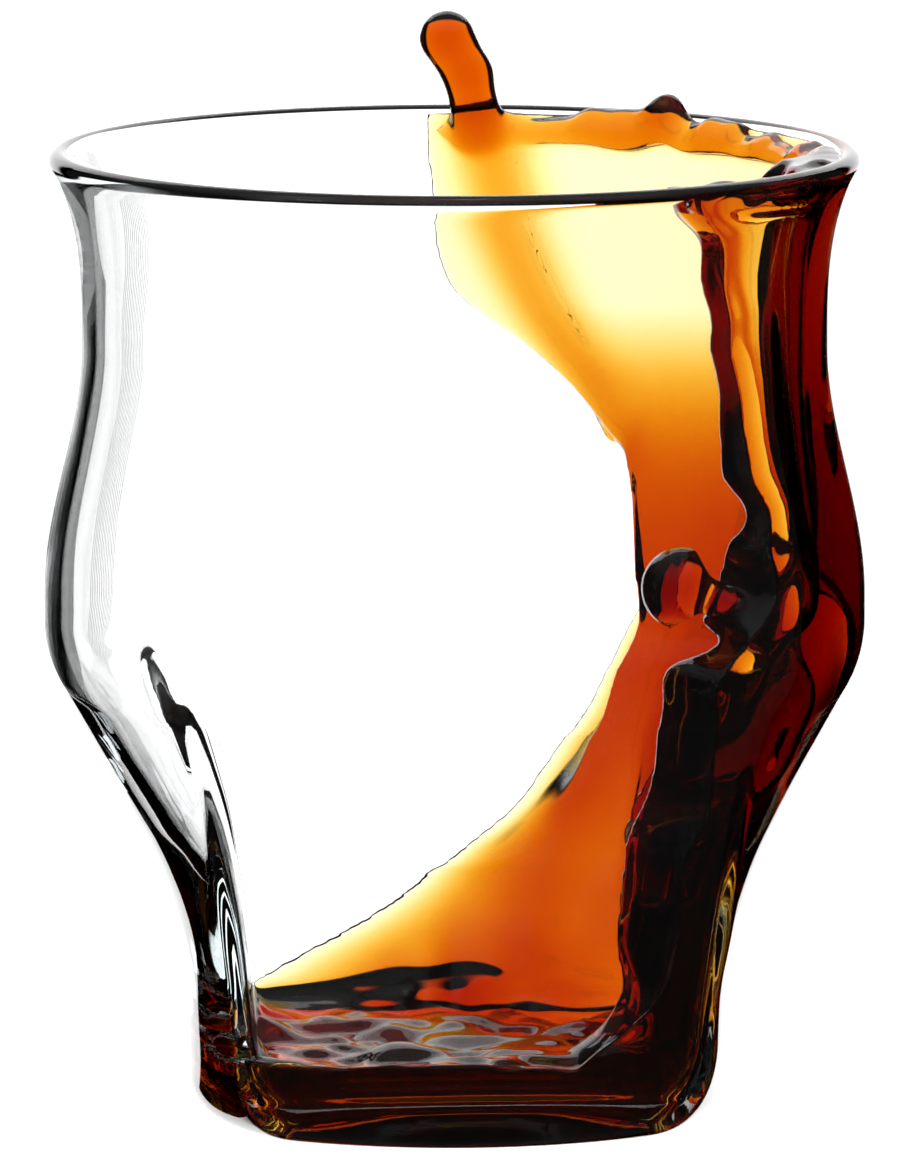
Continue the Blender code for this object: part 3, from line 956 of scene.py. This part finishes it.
    @staticmethod
    def _spot(angle: float, radius: float, height: float) -> Array:
        """A point from its angle in degrees, radius and height."""
        turn = math.radians(angle)
        return np.array((radius * math.cos(turn), radius * math.sin(turn), height))

    def _stem(self, place: tuple[Array, Array, float], ends: Sequence[Sequence[float]]) -> Array:
        """Distance from a stem whose thickness changes from one end to the other.

        Args:
            place: X, Y and Z.
            ends: Two rows of angle, radius, height and thickness.

        Returns:
            The distance, negative inside.
        """
        start, end = (self._spot(*row[:3]) for row in ends)
        axis = end - start
        away = [place[k] - start[k] for k in range(3)]
        share = np.clip(sum(away[k] * axis[k] for k in range(3)) / (axis @ axis), 0.0, 1.0)
        gap = np.sqrt(sum((away[k] - share * axis[k]) ** 2 for k in range(3)))
        return gap - (ends[0][3] + (ends[1][3] - ends[0][3]) * share)

    def _roll(self, angle: Array, radius: Array, height: float, wall: Array) -> Array:
        """The roll of coffee that runs round inside the lip."""
        bumps = self.chop.at(angle * self.degree_length, self.roll_place)
        wider, higher = (rise * np.exp(-(((angle - at) / wide) ** 2)) for rise, at, wide in self.roll_swells)
        ends = self.roll_ends
        thick = self.roll_thick[0] + self.roll_thick[1] * bumps + wider
        thick = thick * smooth_step(*ends[:2], angle) * (1.0 - smooth_step(*ends[2:], angle))
        level = self.roll_level[0] + self.roll_level[1] * bumps + higher
        return np.hypot(radius - (wall - self.roll_inset), height - level) - thick

    def _level(self, height: float) -> float:
        """The nearest level at which the bowl has a wall."""
        return min(max(height, self.glass.floor + self.floor_gap), self.glass.inside[0][-1, 1])

    def _layer(self, x: Array, y: Array, height: float) -> Array:
        """The coffee's field on one level.

        Args:
            x: Grid of X.
            y: Grid of Y.
            height: The level.

        Returns:
            The field, negative inside the coffee.
        """
        glass = self.glass
        turn = np.arctan2(y, x)
        angle = np.degrees(turn)
        radius = np.hypot(x, y)
        level = self._level(height)
        top = glass.inside[0][-1, 1]
        wall = glass.inner_radius(level, turn)
        nudge = self.nudge
        above = glass.inner_radius(min(level + nudge, top), turn)
        below = glass.inner_radius(max(level - nudge, glass.floor + self.floor_gap / 2), turn)
        lean = 1.0 / np.hypot(1.0, (above - below) / (2.0 * nudge))
        deep = (wall - radius) * lean
        sheet = deep - self._thickness(angle, level, wall)
        sheet = np.maximum(sheet, height - (top - self.lip_gap))
        swell = self.waves.at(x, y) * self.pool_swell + self.pool_chop * self.chop.at(x, y)
        pool = height - (self.pool_top + swell)
        field_value = soft_min(sheet, pool, self.pool_blend)
        field_value = soft_min(field_value, self._roll(angle, radius, height, wall), self.roll_blend)
        for *ends, blend in self.stems:
            field_value = soft_min(field_value, self._stem((x, y, height), ends), blend)
        middle, near, far = self.foot_side
        beside = 1.0 - smooth_step(near, far, np.abs(angle - middle))
        beside = beside * self._under(self.foot_levels, height)
        in_foot = np.maximum(beside, self._under(self.pool_levels, height))
        overlap = self.overlap + self.foot_overlap * in_foot
        field_value = np.maximum(field_value, -(height - glass.floor) - overlap)
        return np.maximum(field_value, -deep - overlap)

    def _bend(self, x: Array, y: Array, height: float) -> tuple[Array, Array]:
        """Draw the sample points on one level together at the wall, where the coffee is thin.

        Args:
            x: Grid of X.
            y: Grid of Y.
            height: The level.

        Returns:
            The points' X and Y.
        """
        turn = np.arctan2(y, x)
        radius = np.hypot(x, y)
        wall = self.glass.inner_radius(self._level(height), turn)
        deep = wall - radius
        dense = np.clip(self.dense_depth - deep, 0.0, None)
        packed = np.minimum(dense, self.dense_width) / self.packing
        packed = packed + np.maximum(dense - self.dense_width, 0.0)
        share = (radius - dense + packed) / np.maximum(radius, self.step)
        return x * share, y * share

    def build(self) -> bpy.types.Object:
        """Sample the field, mesh its surface and dress it.

        Returns:
            The coffee, riding on its body.
        """
        net = SurfaceNet(self.net_low, self.net_high, self.step)
        points, quads = net.mesh(*net.sample(self._bend, self._layer))
        piece = mesh_piece("coffee_swirl", points * MM, quads.tolist(), self.finish)
        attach(piece, BODY)
        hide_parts("coffee")
        return piece


@dataclass
class Studio:
    """The camera, and what travels with it: a light panel behind the glass, a top light, cards and a louvre.

    The black cards stand beside the glass in the main view, and the louvre beside it in views from further
    off, so that the clear walls have dark edges. The light table stays under the glass.
    """

    distance: float = 2.4
    azimuth: float = math.radians(-5.0)
    elevation: float = math.radians(7.63)
    aim: float = 0.0525
    frame_long_side: float = 1159 * 0.0972 * MM
    sensor: float = 36.0
    sight: float = 20.0
    panel_distance: float = 7.5
    panel_half: float = 3.77
    top_half: Pair = (0.7, 0.28)
    top_rise: float = 0.75
    top_distance: float = 3.2
    top_tilt: float = math.radians(55.0)
    card_across: float = 0.058
    card_depth: Pair = (2.39, 2.495)
    card_span: Pair = (-0.09, 0.036)
    louvre_across: float = 0.3
    louvre_depth: Pair = (4.32, 5.2)
    louvre_rise: float = 0.3
    slat_length: float = 0.1
    slat_spacing: float = 0.066
    table_radius: float = 0.16
    table_drop: float = 0.0001
    table_sides: int = 96
    room_heights: Pair = (0.35, 0.9)
    room_glow: Pair = (0.04, 0.5)
    bounces: int = 40
    clear_bounces: int = 36
    gloss_bounces: int = 20
    panel_finish: GlowFinish = GlowFinish("light_panel", 1.6, (2.44, 3.11), (3.21, 3.66), (1.78, 2.21))
    top_finish: GlowFinish = GlowFinish("top_light", 1.6)
    table_finish: GlowFinish = GlowFinish("light_table", 1.5)
    card_finish: GlowFinish = GlowFinish("black_card", 0.0)

    def camera(self) -> bpy.types.Object:
        """Put the camera at the photograph's viewing angle.

        Returns:
            The camera.
        """
        data = bpy.data.cameras.new("camera")
        data.sensor_width = self.sensor
        data.lens = self.sensor * self.distance / self.frame_long_side
        data.clip_end = self.sight
        camera = bpy.data.objects.new("camera", data)
        bpy.context.scene.collection.objects.link(camera)
        flat = math.cos(self.elevation)
        turn = self.azimuth
        back = Vector((math.sin(turn) * flat, -math.cos(turn) * flat, math.sin(self.elevation)))
        camera.rotation_mode = "QUATERNION"
        camera.location = Vector((0.0, 0.0, self.aim)) + back * self.distance
        camera.rotation_quaternion = (-back).to_track_quat("-Z", "Y")
        bpy.context.scene.camera = camera
        return camera

    def build(self) -> None:
        """Make the camera, the lights, the black cards, the table and the dim room."""
        camera = self.camera()
        corners = np.array([(-1.0, -1.0, 0.0), (1.0, -1.0, 0.0), (1.0, 1.0, 0.0), (-1.0, 1.0, 0.0)])
        panel = mesh_piece("light_panel", corners * self.panel_half, [(0, 1, 2, 3)], self.panel_finish)
        panel.parent = camera
        panel.location = (0.0, 0.0, -self.panel_distance)
        top_light = mesh_piece("top_light", corners * (*self.top_half, 1.0), [(0, 1, 2, 3)], self.top_finish)
        top_light.parent = camera
        top_light.location = (0.0, self.top_rise, -self.top_distance)
        top_light.rotation_euler = (self.top_tilt, 0.0, 0.0)
        low, high = self.card_span
        near, far = self.card_depth
        for side in (-self.card_across, self.card_across):
            edge = [(side, low, -near), (side, low, -far), (side, high, -far), (side, high, -near)]
            card = mesh_piece("black_card", np.array(edge), [(0, 1, 2, 3)], self.card_finish)
            card.parent = camera
        louvre = self.louvre()
        louvre.parent = camera
        sides = self.table_sides
        turns = np.linspace(0.0, 2.0 * math.pi, sides, endpoint=False)
        disc = np.column_stack([np.cos(turns), np.sin(turns), np.zeros(sides)]) * self.table_radius
        disc[:, 2] = -self.table_drop
        table = mesh_piece("light_table", disc, [range(sides)], self.table_finish)
        table.visible_glossy = False
        table.visible_transmission = False
        self.room()

    def louvre(self) -> bpy.types.Object:
        """Black slats on both sides, edge on to light from the glass when it stands at the main distance.

        Returns:
            The slats of both sides, as one mesh.
        """
        edges: list[Triple] = []
        rise = self.louvre_rise
        for side in (-1.0, 1.0):
            for near in np.arange(*self.louvre_depth, self.slat_spacing):
                far = near + self.slat_length
                lean = self.louvre_across / ((near + far) / 2 - self.distance) * self.slat_length / 2
                start, end = (side * (self.louvre_across + turn * lean) for turn in (-1.0, 1.0))
                edges += [(start, -rise, -near), (end, -rise, -far), (end, rise, -far), (start, rise, -near)]
        faces = np.arange(len(edges)).reshape(-1, 4)
        return mesh_piece("louvre", np.array(edges), faces, self.card_finish)

    def room(self) -> None:
        """Dim surroundings that brighten overhead, and the picture's settings."""
        scene = bpy.context.scene
        world = bpy.data.worlds.new("room")
        scene.world = world
        world.use_nodes = True
        bench = Bench(world.node_tree)
        place = bench.wire("ShaderNodeTexCoord", "Generated")
        height = bench.wire("ShaderNodeSeparateXYZ", "Z", Vector=place)
        glow = bench.ramp(height, self.room_heights + self.room_glow)
        sky = bench.wire("ShaderNodeBackground", "Background", Strength=glow)
        bench.node("ShaderNodeOutputWorld", Surface=sky)
        scene.view_settings.view_transform = "Standard"
        scene.cycles.max_bounces = self.bounces
        scene.cycles.transmission_bounces = self.clear_bounces
        scene.cycles.glossy_bounces = self.gloss_bounces
        scene.cycles.use_denoising = True


def main() -> None:
    """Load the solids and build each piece."""
    logging.basicConfig(level=logging.INFO, format="%(name)s: %(message)s")
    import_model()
    Studio().build()
    glass = GlassBody()
    for piece in (glass.build(), Coffee(glass).build()):
        LOG.info("%s: %d faces", piece.name, len(piece.data.polygons))


if __name__ == "__main__":
    main()
